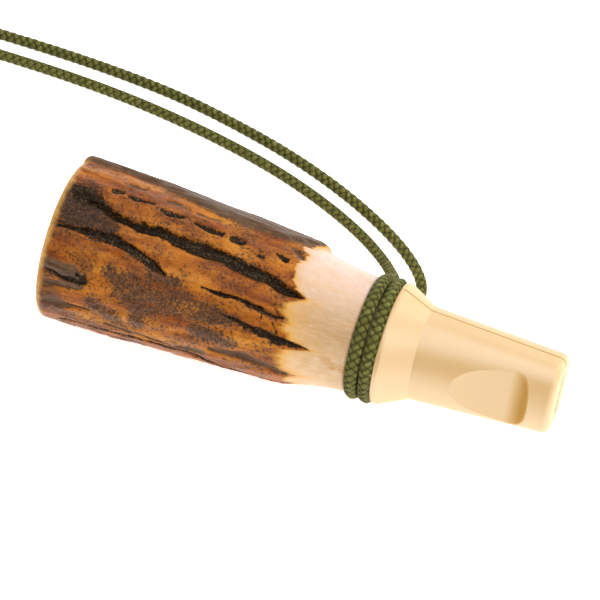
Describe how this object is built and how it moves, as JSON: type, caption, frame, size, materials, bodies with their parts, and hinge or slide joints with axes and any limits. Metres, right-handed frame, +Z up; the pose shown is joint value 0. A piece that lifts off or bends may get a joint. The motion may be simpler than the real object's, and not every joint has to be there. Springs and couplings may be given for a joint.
{
  "type": "bird call",
  "caption": "Reed bird call: a stag-antler barrel on the spigot of a two-part moulded mouthpiece with a beating reed inside, and a braided neck cord wrapped round the groove between them.",
  "frame": {"origin": "centre of the bell's mouth, on the axis of its bore", "axes": "+X along the bore from the bell to the mouth end, +Z up as the call lies on the floor, +Y towards the side where the neck cord lies"},
  "size_m": [0.1872, 0.0628, 0.029],
  "materials": {
    "antler": "natural antler, bark polished on its ridges and bare on the turned neck",
    "ivory_plastic": "polished ivory moulding",
    "seal_rubber": "black, satin",
    "reed_plastic": "dark moulding",
    "reed_film": "frosted film",
    "cork": "natural cork",
    "olive_cord": "braided, matt",
    "tie_strap": "woven, matt"
  },
  "bodies": {
    "mouthpiece": {"mouthpiece_front_shell": "ivory_plastic", "mouthpiece_back_shell": "ivory_plastic", "tone_board": "reed_plastic", "reed_wedge": "cork", "lanyard_wrap": "olive_cord", "lanyard_front_strand": "olive_cord", "lanyard_back_strand": "olive_cord", "lanyard_tail_strand": "olive_cord", "lanyard_coil": "olive_cord", "lanyard_knot": "olive_cord", "coil_tie": "tie_strap"},
    "seals": {"spigot_rings": "seal_rubber"},
    "barrel": {"antler_barrel": "antler"},
    "reed": {"reed": "reed_film"}
  },
  "joints": [
    {"name": "barrel_twist", "type": "hinge", "parent": "mouthpiece", "child": "seals", "pos_m": [0.05, 0, 0], "axis": [1, 0, 0], "continuous": true},
    {"name": "barrel_pull", "type": "slide", "parent": "seals", "child": "barrel", "axis": [-1, 0, 0], "range_m": [0, 0.018]},
    {"name": "reed_beat", "type": "hinge", "parent": "mouthpiece", "child": "reed", "pos_m": [0.0504, 0, 0], "axis": [0, 0.5, 0.866], "range_deg": [0, 1.8], "stiffness_Nm_per_rad": 0.012}
  ]
}
